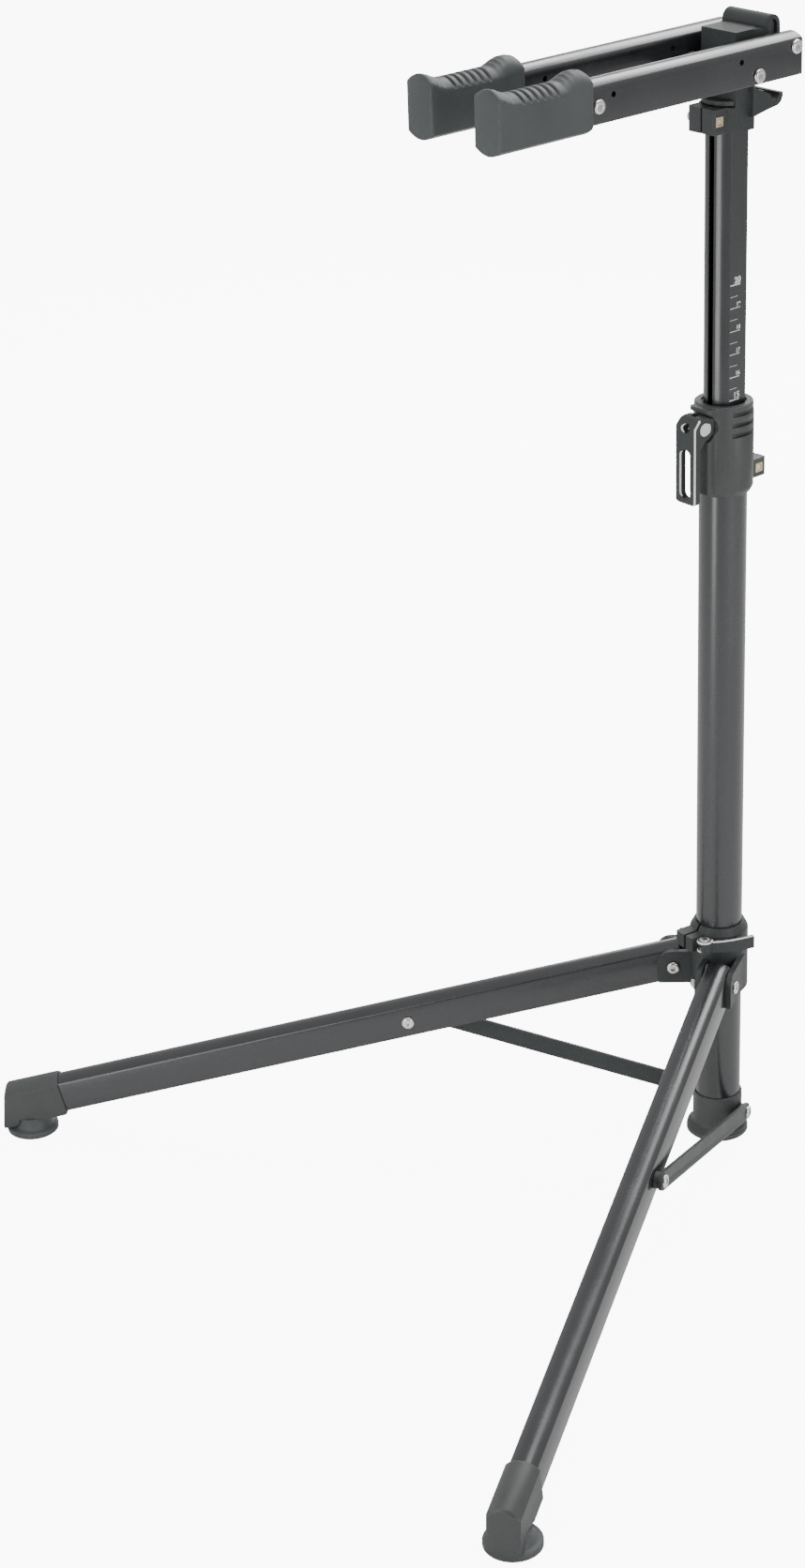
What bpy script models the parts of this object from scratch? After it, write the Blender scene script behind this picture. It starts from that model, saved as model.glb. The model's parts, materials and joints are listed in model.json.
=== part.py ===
"""Folding bicycle repair stand.

A round column stands on a rubber foot.  A hub slides on the column and carries two legs,
and two flat struts tie the legs to the bottom of the column.  A D-section mast slides in
the collar on top, and its head carries two padded arms that hold the bicycle.

The scene is in metres, +Z up, with its origin at the centre of the column's foot on the
floor and the arms along -Y.  Every dimension below is in millimetres; MM converts them.
"""

import bpy
import bmesh
from math import asin, atan2, cos, hypot, pi, radians, sin, sqrt, tan
from mathutils import Vector

MM = 0.001
GAP = 0.3                      # air between touching pieces
SEG = 28                       # facets of a large round piece
SMALL_SEG = 12                 # facets of a fastener

# Column and base
COLUMN_R = 25.0
COLUMN_BORE_R = 22.8
COLUMN_TOP = 832.0
BASE_CAP_R = 27.2
BASE_CAP_TOP = 50.0
BASE_FLARE_R = 33.4
BASE_FLOOR = 9.0               # inside floor of the base cap
BASE_FOOT_R = 34.2
BASE_FOOT_H = 6.0

# Legs: azimuth each side of the V's middle, with each leg's plane stepped outwards
LEG_TURN = radians(-6.63)      # the V's middle from the arms' direction
LEG_SPREAD = radians(36.2)
LEG_STEP = 10.7
HINGE_R = 50.1                 # hinge axis from the column's axis
HINGE_Z = 208.6
LEG_SLOPE = radians(13.3)      # below horizontal
LEG_NOSE = 11.0                # tube behind its hinge
LEG_END = 734.6                # tube end along the leg, from its hinge
STRUT_BOLT_U = 302.0           # strut bolt along the leg, from its hinge
CAP_START = 706.9
CAP_END_R = 804.5              # end face of the foot cap from the column's axis, at its top
CAP_END_Z = 45.0
CAP_END_LEAN = 0.08            # how far the end face moves out per millimetre down
CAP_SKIRT_Z = 6.8              # bottom of the end wall, just over the pad's rim
CAP_SKIRT_IN = 12.0
CAP_WALL = 3.0
FOOT_R = 776.4                 # foot centre from the column's axis
PAD_R = 28.9
PAD_TOP = 20.0
PAD_STEM_R = 5.0
PAD_STEM_TOP = 34.0

# Bar section shared by the legs and arms: flat sides and bottom, crowned top
BAR_HALF_W = 14.0
BAR_SIDE = 34.8
BAR_CROWN = 5.6
BAR_WALL = 1.8

# Struts, their planes measured outwards from the column's axis
STRUT_BASE_Z = 24.5
STRUT_HALF_W = 10.3
STRUT_IN = 30.6
STRUT_OUT = 34.6
BOSS_R = 9.0

# Hub
HUB_R = 31.8
HUB_BORE_R = 27.3
HUB_BOTTOM = 181.0
HUB_TOP = 264.0
HUB_CLAMP_BOTTOM = 238.5
EAR_IN = 14.3                  # ear planes each side of the leg's plane
EAR_OUT = 20.3
NOSE_POCKET_R = 21.0
HUB_CLAMP_Y = -37.0
HUB_CLAMP_Z = 250.0
HUB_LEVER_X = 21.0
HUB_LEVER_R = 8.2
HUB_PIN_R = 4.2
JAW_FAR = -15.5
JAW_NEAR = 12.0
JAW_FRONT = -47.5
JAW_LOW = 242.0
JAW_HIGH = 258.0

# Collar and its lever
COLLAR_R = 31.0
COLLAR_TOP = 858.0
COLLAR_LIP = 856.0
LEVER_Y = -40.8
LEVER_Z = 838.3
CAM_R = 12.7
LEVER_PIN_R = 7.0
LEVER_HALF_W = 13.5
LEVER_FACE = -55.0
LEVER_BOTTOM = 758.5
SCREW_R = 2.9
SCREW_HOLE_R = 3.2
COLLAR_BOTTOM = 761.0
COLLAR_BOX_HALF_W = 14.0       # box round the lever's foot
COLLAR_BOX_FRONT = -36.0
COLLAR_LUG_HALF_W = 14.5       # clamp lugs at the back
COLLAR_LUG_BACK = 47.5
COLLAR_LUG_LOW = 769.0
COLLAR_LUG_HIGH = 788.5
COLLAR_CLAMP_Y = 38.2
COLLAR_CLAMP_Z = 778.5
GROOVE_LEVELS = (828.0, 839.0, 850.0)
GROOVE_FLOOR = 26.6
GROOVE_HALF_H = 2.4
WINDOW_R = 7.0
PLATE_BACK = -6.6              # back of the lever's plate, from its pivot

# Mast: flat back and sides, crowned front with a slot
MAST_HALF_W = 18.0
MAST_BACK = 12.6
MAST_SHOULDER = 11.0
MAST_CROWN = 9.5
MAST_WALL = 2.2
MAST_SLOT = 3.3
MAST_BOTTOM = 420.0
MAST_TOP = 1164.2

# Head
HEAD_R = 27.4
HEAD_HALF_W = 23.5
HEAD_FRONT = -12.0
HEAD_BOTTOM = 1137.0
HEAD_TOP = 1235.0
HEAD_BAND_TOP = 1162.5
HEAD_LUG_FRONT = -35.0
HEAD_LUG_NEAR = 17.0
HEAD_LUG_FAR = -19.5
HEAD_CLAMP_Y = -26.5
HEAD_CLAMP_Z = 1150.0
HOOK_HALF_W = 29.0
HOOK_Z = 1236.0
HOOK_R = 10.5
HOOK_INNER_R = 6.0
HOOK_REAR_BOTTOM = 1223.0
PIVOT_Y = -18.1
PIVOT_Z = 1200.5
BARREL_R = 10.0
BARREL_HALF_W = 31.8

# Arms
ARM_X = 46.3                   # centre plane of each arm
ARM_Z = 1209.3                 # middle of its flat side
ARM_REAR = 42.0
ARM_FRONT = -350.0
ROD_Y = 32.9
ROD_Z = 1219.9
SLEEVE_R = 5.5
GRIP_BOLT_Y = -230.4
GRIP_BOLT_Z = 1208.9
ARM_HOLE_Y = (-42.0, -211.0)
ARM_HOLE_Z = 1217.0
ARM_HOLE_R = 2.9
BOLT_INSERT = 12.0             # shank of a grip bolt
INSERT_R = 8.0                 # hexagonal nut inside the arm
INSERT_LENGTH = 8.0
GRIP_HALF_W = 17.3
GRIP_FRONT = -356.0
GRIP_REAR = -239.0

# Fasteners
BOLT_R = 4.0
BOLT_HOLE_R = 4.3
BUTTON_R = 7.1
BUTTON_H = 3.2
SOCKET_R = 2.9
SQUARE_NUT = 10.0
SQUARE_NUT_H = 3.2
HINGE_NUT_H = 6.0

FINISHES = {
    "black_anodised": ((0.060, 0.064, 0.068), 0.34, 0.5),
    "cast_black": ((0.055, 0.060, 0.060), 0.5, 0.1),
    "plastic_black": ((0.045, 0.048, 0.049), 0.5, 0.0),
    "rubber": ((0.085, 0.090, 0.092), 0.75, 0.0),
    "chrome": ((0.75, 0.75, 0.74), 0.18, 1.0),
    "brass": ((0.78, 0.60, 0.30), 0.3, 1.0),
}


# ---------------------------------------------------------------- objects

def clear_scene():
    for obj in list(bpy.data.objects):
        bpy.data.objects.remove(obj, do_unlink=True)


def make_material(name, finish):
    colour, roughness, metallic = FINISHES[finish]
    material = bpy.data.materials.new(name)
    material.use_nodes = True
    shader = material.node_tree.nodes["Principled BSDF"]
    shader.inputs["Base Color"].default_value = (*colour, 1.0)
    shader.inputs["Roughness"].default_value = roughness
    shader.inputs["Metallic"].default_value = metallic
    material.diffuse_color = (*colour, 1.0)
    return material


def empty(name, location, rotation=(0.0, 0.0, 0.0), parent=None):
    obj = bpy.data.objects.new(name, None)
    bpy.context.scene.collection.objects.link(obj)
    obj.parent = parent
    obj.location = Vector(location) * MM
    obj.rotation_euler = rotation
    return obj


def mesh_object(name, bm, frame, location, rotation):
    """Object from a shape in millimetres, which is used up."""
    bmesh.ops.scale(bm, vec=(MM, MM, MM), verts=bm.verts)
    bmesh.ops.recalc_face_normals(bm, faces=bm.faces)
    mesh = bpy.data.meshes.new(name)
    bm.to_mesh(mesh)
    bm.free()
    mesh.shade_smooth()
    mesh.set_sharp_from_angle(angle=radians(32))
    obj = bpy.data.objects.new(name, mesh)
    bpy.context.scene.collection.objects.link(obj)
    obj.parent = frame
    obj.location = Vector(location) * MM
    obj.rotation_euler = rotation
    return obj


def part(name, finish, shape, frame=None, location=(0, 0, 0), rotation=(0, 0, 0)):
    obj = mesh_object(name, shape, frame, location, rotation)
    obj.data.materials.append(make_material(name, finish))
    return obj


def combine(target, operation, shape, location, rotation):
    """Boolean of the target with a hidden tool that shares its parent."""
    name = f"{target.name}_tool_{len(target.modifiers)}"
    tool = mesh_object(name, shape, target.parent, location, rotation)
    tool.hide_render = True
    tool.display_type = "WIRE"
    modifier = target.modifiers.new(name, "BOOLEAN")
    modifier.operation = operation
    modifier.solver = "EXACT"
    modifier.object = tool


def add(target, shape, location=(0, 0, 0), rotation=(0, 0, 0)):
    combine(target, "UNION", shape, location, rotation)


def cut(target, shape, location=(0, 0, 0), rotation=(0, 0, 0)):
    combine(target, "DIFFERENCE", shape, location, rotation)


def aim(direction):
    """Rotation that turns +Z to the direction."""
    return Vector((0, 0, 1)).rotation_difference(Vector(direction)).to_euler()


# ---------------------------------------------------------------- shapes, in millimetres

def loft(rings, closed=False):
    """Skin over rings of equal length; closed joins the last ring to the first."""
    bm = bmesh.new()
    loops = [[bm.verts.new(point) for point in ring] for ring in rings]
    pairs = list(zip(loops, loops[1:]))
    if closed:
        pairs.append((loops[-1], loops[0]))
    else:
        bm.faces.new(loops[0])
        bm.faces.new(loops[-1])
    for low, high in pairs:
        for i in range(len(low)):
            j = (i + 1) % len(low)
            bm.faces.new((low[i], low[j], high[j], high[i]))
    return bm


def circle(radius, z, segments=SEG):
    angles = [2 * pi * i / segments for i in range(segments)]
    return [(radius * cos(angle), radius * sin(angle), z) for angle in angles]


def hexagon(radius, z, segments=SMALL_SEG):
    """Hexagon with as many points as a circle, so that the two can be skinned."""
    ring = []
    for i in range(segments):
        angle = 2 * pi * i / segments
        reach = radius * cos(pi / 6) / cos(angle % (pi / 3) - pi / 6)
        ring.append((reach * cos(angle), reach * sin(angle), z))
    return ring


def rounded(corners, steps=4):
    """Outline through corners given as x, y and the radius that each is rounded to."""
    outline = []
    for i, (x, y, radius) in enumerate(corners):
        corner = Vector((x, y))
        before = (Vector(corners[i - 1][:2]) - corner).normalized()
        after = (Vector(corners[(i + 1) % len(corners)][:2]) - corner).normalized()
        half = before.angle(after) / 2
        reach = radius / tan(half)
        centre = corner + (before + after).normalized() * radius / sin(half)
        first = corner + before * reach - centre
        last = corner + after * reach - centre
        span = pi - 2 * half
        count = steps if radius else 0
        for k in range(count + 1):
            t = k / steps
            spoke = (first * sin((1 - t) * span) + last * sin(t * span)) / sin(span)
            outline.append(tuple(centre + spoke))
    return outline


def turned(profile, segments=SEG, closed=False):
    """Solid of revolution about Z from (radius, z) points; closed makes a ring."""
    return loft([circle(radius, z, segments) for radius, z in profile], closed)


def rod(radius, low, high, segments=SMALL_SEG):
    return turned([(radius, low), (radius, high)], segments)


def tube(outer, inner, low, high, segments=SEG):
    return turned([(outer, low), (outer, high), (inner, high), (inner, low)], segments, True)


def prism(outline, axis, start, end):
    """Outline of (a, b) points extruded along an axis; a and b are the other two, in order."""
    place = {
        "X": lambda level, a, b: (level, a, b),
        "Y": lambda level, a, b: (a, level, b),
        "Z": lambda level, a, b: (a, b, level),
    }[axis]
    return loft([[place(level, a, b) for a, b in outline] for level in (start, end)])


def box(low, high):
    outline = [(low[0], low[1]), (high[0], low[1]), (high[0], high[1]), (low[0], high[1])]
    return prism(outline, "Z", low[2], high[2])


def arc(centre, radius, start, end, steps):
    """Points on a circle from start to end degrees, both included."""
    points = []
    for i in range(steps + 1):
        angle = radians(start + (end - start) * i / steps)
        points.append((centre[0] + radius * cos(angle), centre[1] + radius * sin(angle)))
    return points


def crowned(half_width, bottom, side_top, crown, steps=8):
    """D outline: flat bottom and sides, circular crown above the sides."""
    radius = (half_width ** 2 + crown ** 2) / (2 * crown)
    reach = asin(half_width / radius)
    points = [(-half_width, bottom), (half_width, bottom)]
    for i in range(steps + 1):
        angle = reach * (1 - 2 * i / steps)
        points.append((radius * sin(angle), side_top + crown - radius * (1 - cos(angle))))
    return points


def bar_section(growth=0.0):
    """Section of a leg or arm about the middle of its side, grown outwards."""
    side = BAR_SIDE / 2
    return crowned(BAR_HALF_W + growth, -side - growth, side, BAR_CROWN + growth)


def bar_tube(axis, start, end):
    """Hollow bar along X or Y, crown up."""
    rings = []
    stations = ((0.0, start), (0.0, end), (-BAR_WALL, end), (-BAR_WALL, start))
    for growth, level in stations:
        section = bar_section(growth)
        if axis == "X":
            rings.append([(level, a, b) for a, b in section])
        else:
            rings.append([(a, level, b) for a, b in section])
    return loft(rings, closed=True)


# ---------------------------------------------------------------- fasteners

def button_screw(name, frame, seat, direction, length):
    """Button-head screw: the seat is under its head, the direction points out of the head."""
    rings = [circle(BOLT_R, -length, SMALL_SEG), circle(BOLT_R, 0.0, SMALL_SEG),
             circle(BUTTON_R, 0.0, SMALL_SEG), circle(BUTTON_R, 0.9, SMALL_SEG),
             circle(6.1, 2.3, SMALL_SEG), circle(4.3, BUTTON_H, SMALL_SEG),
             hexagon(SOCKET_R, BUTTON_H), hexagon(SOCKET_R, 1.0)]
    return part(name, "chrome", loft(rings), frame, seat, aim(direction))


def hex_nut(name, frame, seat, direction, height, hole):
    rings = [hexagon(6.4, 0.0), hexagon(6.4, height),
             circle(hole, height, SMALL_SEG), circle(hole, 0.0, SMALL_SEG)]
    return part(name, "chrome", loft(rings, closed=True), frame, seat, aim(direction))


def square_nut(name, frame, low, high, screw_y, screw_z):
    """Brass nut held in a jaw's side face, threaded on the screw that runs along X."""
    half = SQUARE_NUT / 2
    outline = [(screw_y - half, screw_z - half), (screw_y + half, screw_z - half),
               (screw_y + half, screw_z + half), (screw_y - half, screw_z + half)]
    nut = part(name, "brass", prism(outline, "X", low, high), frame)
    cut(nut, rod(SCREW_HOLE_R, low - 2.0, high + 2.0), (0, screw_y, screw_z), aim((1, 0, 0)))
    return nut


def nut_pocket(housing, floor, face, y, z, place=(0, 0, 0)):
    """Square recess in a lug's side face that takes a square nut."""
    half = SQUARE_NUT / 2 + GAP
    cut(housing, box((floor, y - half, z - half), (face + 5.0, y + half, z + half)), place)


def cap_screw(name, frame, start, end, y, z):
    """Socket screw along X whose head sits outside the jaw at start."""
    head = 4.0
    rings = [hexagon(2.4, start - head + 2.0), hexagon(2.4, start - head),
             circle(4.6, start - head, SMALL_SEG), circle(5.0, start - head + 0.5, SMALL_SEG),
             circle(5.0, start, SMALL_SEG), circle(SCREW_R, start, SMALL_SEG),
             circle(SCREW_R, end, SMALL_SEG)]
    return part(name, "chrome", loft(rings), frame, (0, y, z), aim((1, 0, 0)))


# ---------------------------------------------------------------- leg geometry

def side_name(side):
    return "right" if side > 0 else "left"


def leg_direction(side):
    return Vector((side * sin(LEG_SPREAD), -cos(LEG_SPREAD), 0.0))


def leg_outward(side):
    return Vector((side * cos(LEG_SPREAD), sin(LEG_SPREAD), 0.0))


def leg_azimuth(side):
    direction = leg_direction(side)
    return atan2(direction.y, direction.x)


def beside_leg(side, reach, outward, z):
    """Point at a distance along a leg's direction and outwards from the column's axis."""
    return leg_direction(side) * reach + leg_outward(side) * outward + Vector((0, 0, z))


def strut_bolt_place():
    """Strut bolt's distance from the column's axis and its height."""
    reach = HINGE_R + STRUT_BOLT_U * cos(LEG_SLOPE)
    return reach, HINGE_Z - STRUT_BOLT_U * sin(LEG_SLOPE)


# ---------------------------------------------------------------- column and base

def build_column(leg_frame):
    column = part("column_tube", "black_anodised",
                  tube(COLUMN_R, COLUMN_BORE_R, BASE_FLOOR + GAP, COLUMN_TOP), leg_frame)
    floor = BASE_FOOT_H + GAP
    profile = [(BASE_CAP_R - 1.0, BASE_CAP_TOP), (BASE_CAP_R, BASE_CAP_TOP - 1.0),
               (BASE_CAP_R, 16.0), (28.4, 12.0), (BASE_FLARE_R, 8.6), (BASE_FLARE_R, floor)]
    rings = [circle(COLUMN_R + GAP, BASE_FLOOR), circle(COLUMN_R + GAP, BASE_CAP_TOP)]
    cap = part("base_cap", "plastic_black",
               loft(rings + [circle(radius, z) for radius, z in profile]), leg_frame)
    for side in (1, -1):
        outward = leg_outward(side)
        start = beside_leg(side, 0.0, COLUMN_R + 1.0, STRUT_BASE_Z)
        add(cap, rod(BOSS_R, 0.0, STRUT_IN - GAP - COLUMN_R - 1.0), start, aim(outward))
        cut(cap, rod(BOLT_HOLE_R, -6.0, 12.0), start, aim(outward))
        cut(column, rod(BOLT_HOLE_R, -6.0, 12.0), start, aim(outward))
        seat = beside_leg(side, 0.0, STRUT_OUT + GAP, STRUT_BASE_Z)
        button_screw(f"strut_base_bolt_{side_name(side)}", leg_frame, seat, outward, 17.0)
    foot = [(BASE_FOOT_R, 0.0), (BASE_FOOT_R, BASE_FOOT_H - 1.5), (BASE_FOOT_R - 1.2, BASE_FOOT_H)]
    part("base_foot", "rubber", turned(foot), leg_frame)


# ---------------------------------------------------------------- hub

def build_hub(hub):
    profile = [(28.7, HUB_BOTTOM), (HUB_R, HUB_BOTTOM + 4.0), (HUB_R, 256.0), (27.6, HUB_TOP)]
    casting = part("hub_casting", "cast_black", turned(profile), hub)
    for low, high in ((JAW_FAR, 4.0), (-4.0, JAW_NEAR)):
        outline = rounded([(low, -26.0, 0.0), (high, -26.0, 0.0), (high, JAW_FRONT, 1.5),
                           (low, JAW_FRONT, 1.5)], 2)
        add(casting, prism(outline, "Z", JAW_LOW, JAW_HIGH))
    for side in (1, -1):
        turn = (0, 0, leg_azimuth(side))
        for inner, outer, back in ((EAR_IN, EAR_OUT, 2.0), (-EAR_OUT, -EAR_IN, 28.0)):
            planes = (side * (LEG_STEP + inner), side * (LEG_STEP + outer))
            outline = [(back, 189.5), (65.0, 189.5), (66.5, 191.0)]
            outline += arc((51.5, 213.0), 15.0, 0, 90, 6)
            outline += [(back, 228.0)]
            add(casting, prism(outline, "Y", *planes), rotation=turn)
    for side in (1, -1):
        outward = leg_outward(side)
        hinge = beside_leg(side, HINGE_R, LEG_STEP, HINGE_Z)
        cut(casting, rod(NOSE_POCKET_R, -EAR_IN, EAR_IN, 24), hinge, aim(outward))
        cut(casting, rod(BOLT_HOLE_R, -24.0, 24.0), hinge, aim(outward))
        name = side_name(side)
        reach = EAR_OUT + GAP
        head = beside_leg(side, HINGE_R, LEG_STEP + side * reach, HINGE_Z)
        nut = beside_leg(side, HINGE_R, LEG_STEP - side * reach, HINGE_Z)
        shank = 2 * reach + HINGE_NUT_H + 1.0
        button_screw(f"hinge_bolt_{name}", hub, head, side * outward, shank)
        hex_nut(f"hinge_nut_{name}", hub, nut, -side * outward, HINGE_NUT_H, BOLT_HOLE_R)
    bore = [(HUB_BORE_R, HUB_BOTTOM - 5.0), (HUB_BORE_R, HUB_CLAMP_BOTTOM),
            (COLUMN_R + GAP, HUB_CLAMP_BOTTOM), (COLUMN_R + GAP, HUB_TOP + 5.0)]
    cut(casting, turned(bore))
    cut(casting, box((-1.5, -60.0, HUB_CLAMP_BOTTOM - 1.0), (1.5, -20.0, HUB_TOP + 6.0)))
    axis = (0, HUB_CLAMP_Y, HUB_CLAMP_Z)
    cut(casting, rod(SCREW_HOLE_R, -30.0, 30.0), axis, aim((1, 0, 0)))
    liner = tube(HUB_BORE_R - GAP, COLUMN_R + GAP, HUB_BOTTOM + 1.0, HUB_CLAMP_BOTTOM - GAP)
    part("hub_liner", "plastic_black", liner, hub)
    part("hub_skewer", "chrome", rod(SCREW_R, JAW_FAR - 6.0, HUB_LEVER_X + 3.0), hub, axis,
         aim((1, 0, 0)))
    hex_nut("hub_skewer_nut", hub, (JAW_FAR - GAP, HUB_CLAMP_Y, HUB_CLAMP_Z), (-1, 0, 0), 4.5,
            SCREW_HOLE_R)


def hub_lever_shape():
    """Blade that curves round the hub, about the lever's pivot at the origin."""
    start, bend, end = Vector((3.0, 2.0)), Vector((17.0, 20.0)), Vector((22.5, 50.0))
    steps = 8
    rings = []
    for i in range(steps + 1):
        t = i / steps
        point = start * (1 - t) ** 2 + bend * 2 * t * (1 - t) + end * t ** 2
        along = ((bend - start) * (1 - t) + (end - bend) * t).normalized()
        normal = Vector((along.y, -along.x)) * (2.6 - 0.6 * t)
        outer = point + normal
        inner = point - normal
        half = 6.6 + 0.9 * t
        rings.append([(outer.x, outer.y, -half), (outer.x, outer.y, half),
                      (inner.x, inner.y, half), (inner.x, inner.y, -half)])
    return loft(rings)


def build_hub_lever(hub):
    pivot = empty("hub_lever_pivot", (HUB_LEVER_X, HUB_CLAMP_Y, HUB_CLAMP_Z - HINGE_Z), parent=hub)
    head = [(HUB_LEVER_R - 0.8, -7.5), (HUB_LEVER_R, -6.7), (HUB_LEVER_R, 6.7),
            (HUB_LEVER_R - 0.8, 7.5)]
    lever = part("hub_lever", "cast_black", turned(head, 24), pivot)
    add(lever, hub_lever_shape())
    cut(lever, rod(HUB_PIN_R + GAP, -20.0, 20.0))
    clearance = SCREW_R + 0.5
    cut(lever, box((-20.0, -20.0, -clearance), (clearance, clearance, clearance)))
    pin = part("hub_lever_pin", "chrome",
               turned([(HUB_PIN_R - 0.6, -8.6), (HUB_PIN_R, -8.0), (HUB_PIN_R, 8.0),
                       (HUB_PIN_R - 0.6, 8.6)], SMALL_SEG), pivot)
    cut(pin, rod(SCREW_HOLE_R, -10.0, 10.0), rotation=aim((1, 0, 0)))


# ---------------------------------------------------------------- legs and feet

def foot_cap_shape():
    """Cap over the leg's end, upright about the foot's centre on the floor."""
    slope_cos = cos(LEG_SLOPE)
    slope_sin = sin(LEG_SLOPE)
    reach = CAP_END_R - HINGE_R + CAP_END_LEAN * (CAP_END_Z - HINGE_Z)
    tilted_cos = slope_cos - CAP_END_LEAN * slope_sin
    tilted_sin = slope_sin + CAP_END_LEAN * slope_cos
    rings = []
    for growth, end in ((CAP_WALL - 0.8, None), (CAP_WALL, 2.0), (CAP_WALL, "face"),
                        (CAP_WALL - 2.0, "front")):
        ring = []
        for a, b in bar_section(growth):
            if end is None or end == 2.0:
                u = CAP_START + (end or 0.0)
            else:
                inset = 2.0 if end == "face" else 0.0
                u = (reach - inset - b * tilted_sin) / tilted_cos
            ring.append((HINGE_R + u * slope_cos + b * slope_sin - FOOT_R, a,
                         HINGE_Z - u * slope_sin + b * slope_cos))
        rings.append(ring)
    return loft(rings)


def foot_skirt_shape():
    """Lower part of the cap's end wall, with rounded bottom corners."""
    half = BAR_HALF_W + CAP_WALL
    outline = rounded([(-half, CAP_SKIRT_Z, 5.0), (half, CAP_SKIRT_Z, 5.0), (half, 26.0, 0.0),
                       (-half, 26.0, 0.0)], 5)
    inner = [(CAP_SKIRT_IN, y, z) for y, z in outline]
    face = CAP_END_R - FOOT_R - 0.6
    outer = [(face + CAP_END_LEAN * (CAP_END_Z - z), y, z) for y, z in outline]
    return loft([inner, outer])


def build_foot(side, pivot):
    name = side_name(side)
    rise = HINGE_Z
    run = FOOT_R - HINGE_R
    along = run * cos(LEG_SLOPE) + rise * sin(LEG_SLOPE)
    below = run * sin(LEG_SLOPE) - rise * cos(LEG_SLOPE)
    foot = empty(f"foot_{name}", (along, 0, below), (0, -LEG_SLOPE, 0), pivot)
    cap = part(f"foot_cap_{name}", "plastic_black", foot_cap_shape(), foot)
    add(cap, foot_skirt_shape())
    socket = prism(bar_section(GAP), "X", CAP_START - 20.0, LEG_END + GAP)
    place = Vector((HINGE_R - FOOT_R, 0, HINGE_Z))
    cut(cap, socket, place, (0, LEG_SLOPE, 0))
    dome = [(PAD_R + 0.6, -5.0), (PAD_R + 0.6, 6.2), (PAD_R - 1.0, 7.9), (24.5, 10.0),
            (21.5, 14.0), (20.5, PAD_TOP + GAP)]
    cut(cap, turned(dome))
    cut(cap, rod(PAD_STEM_R + GAP, 10.0, PAD_STEM_TOP + GAP))
    profile = [(PAD_R - 1.0, 0.0), (PAD_R, 1.0), (PAD_R, 5.5), (PAD_R - 1.6, 7.0), (23.4, 8.6),
               (20.8, 11.5), (19.4, 15.5), (19.0, PAD_TOP), (PAD_STEM_R, PAD_TOP),
               (PAD_STEM_R, PAD_STEM_TOP)]
    part(f"foot_pad_{name}", "rubber", turned(profile), foot)


def build_leg(side, hub):
    name = side_name(side)
    hinge = beside_leg(side, HINGE_R, LEG_STEP, 0.0)
    pivot = empty(f"leg_pivot_{name}", hinge, (0, LEG_SLOPE, leg_azimuth(side)), hub)
    across = aim((0, side, 0))
    leg = part(f"leg_tube_{name}", "black_anodised", bar_tube("X", -LEG_NOSE, LEG_END), pivot)
    plug_section = bar_section(-BAR_WALL - GAP)
    plug = part(f"leg_plug_{name}", "plastic_black", prism(plug_section, "X", -LEG_NOSE + 1.0, 16.0),
                pivot)
    for target, u in ((leg, 0.0), (plug, 0.0), (leg, STRUT_BOLT_U)):
        cut(target, rod(BOLT_HOLE_R, -20.0, 20.0), (u, 0, 0), across)
    spacer = tube(BOSS_R, BOLT_HOLE_R, BAR_HALF_W + GAP, STRUT_IN - GAP - LEG_STEP, 24)
    part(f"strut_spacer_{name}", "plastic_black", spacer, pivot, (STRUT_BOLT_U, 0, 0), across)
    seat = (STRUT_BOLT_U, -side * (BAR_HALF_W + GAP), 0)
    length = BAR_HALF_W + STRUT_IN - LEG_STEP
    button_screw(f"strut_bolt_{name}", pivot, seat, (0, -side, 0), length)
    build_foot(side, pivot)


def build_strut(side, leg_frame):
    name = side_name(side)
    reach, height = strut_bolt_place()
    rise = height - STRUT_BASE_Z
    length = hypot(reach, rise)
    pivot = empty(f"strut_pivot_{name}", (0, 0, STRUT_BASE_Z),
                  (0, -atan2(rise, reach), leg_azimuth(side)), leg_frame)
    outline = arc((length, 0.0), STRUT_HALF_W, -90, 90, 10)
    outline += arc((0.0, 0.0), STRUT_HALF_W, 90, 270, 10)
    planes = (side * STRUT_IN, side * STRUT_OUT)
    bar = part(f"strut_bar_{name}", "cast_black", prism(outline, "Y", *planes), pivot)
    across = aim((0, side, 0))
    for x in (0.0, length):
        cut(bar, rod(BOLT_HOLE_R, STRUT_IN - 3.0, STRUT_OUT + 3.0), (x, 0, 0), across)
    seat = (length, side * (STRUT_OUT + GAP), 0)
    button_screw(f"strut_nut_{name}", pivot, seat, (0, side, 0), STRUT_OUT - STRUT_IN + GAP)


# ---------------------------------------------------------------- collar

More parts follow.
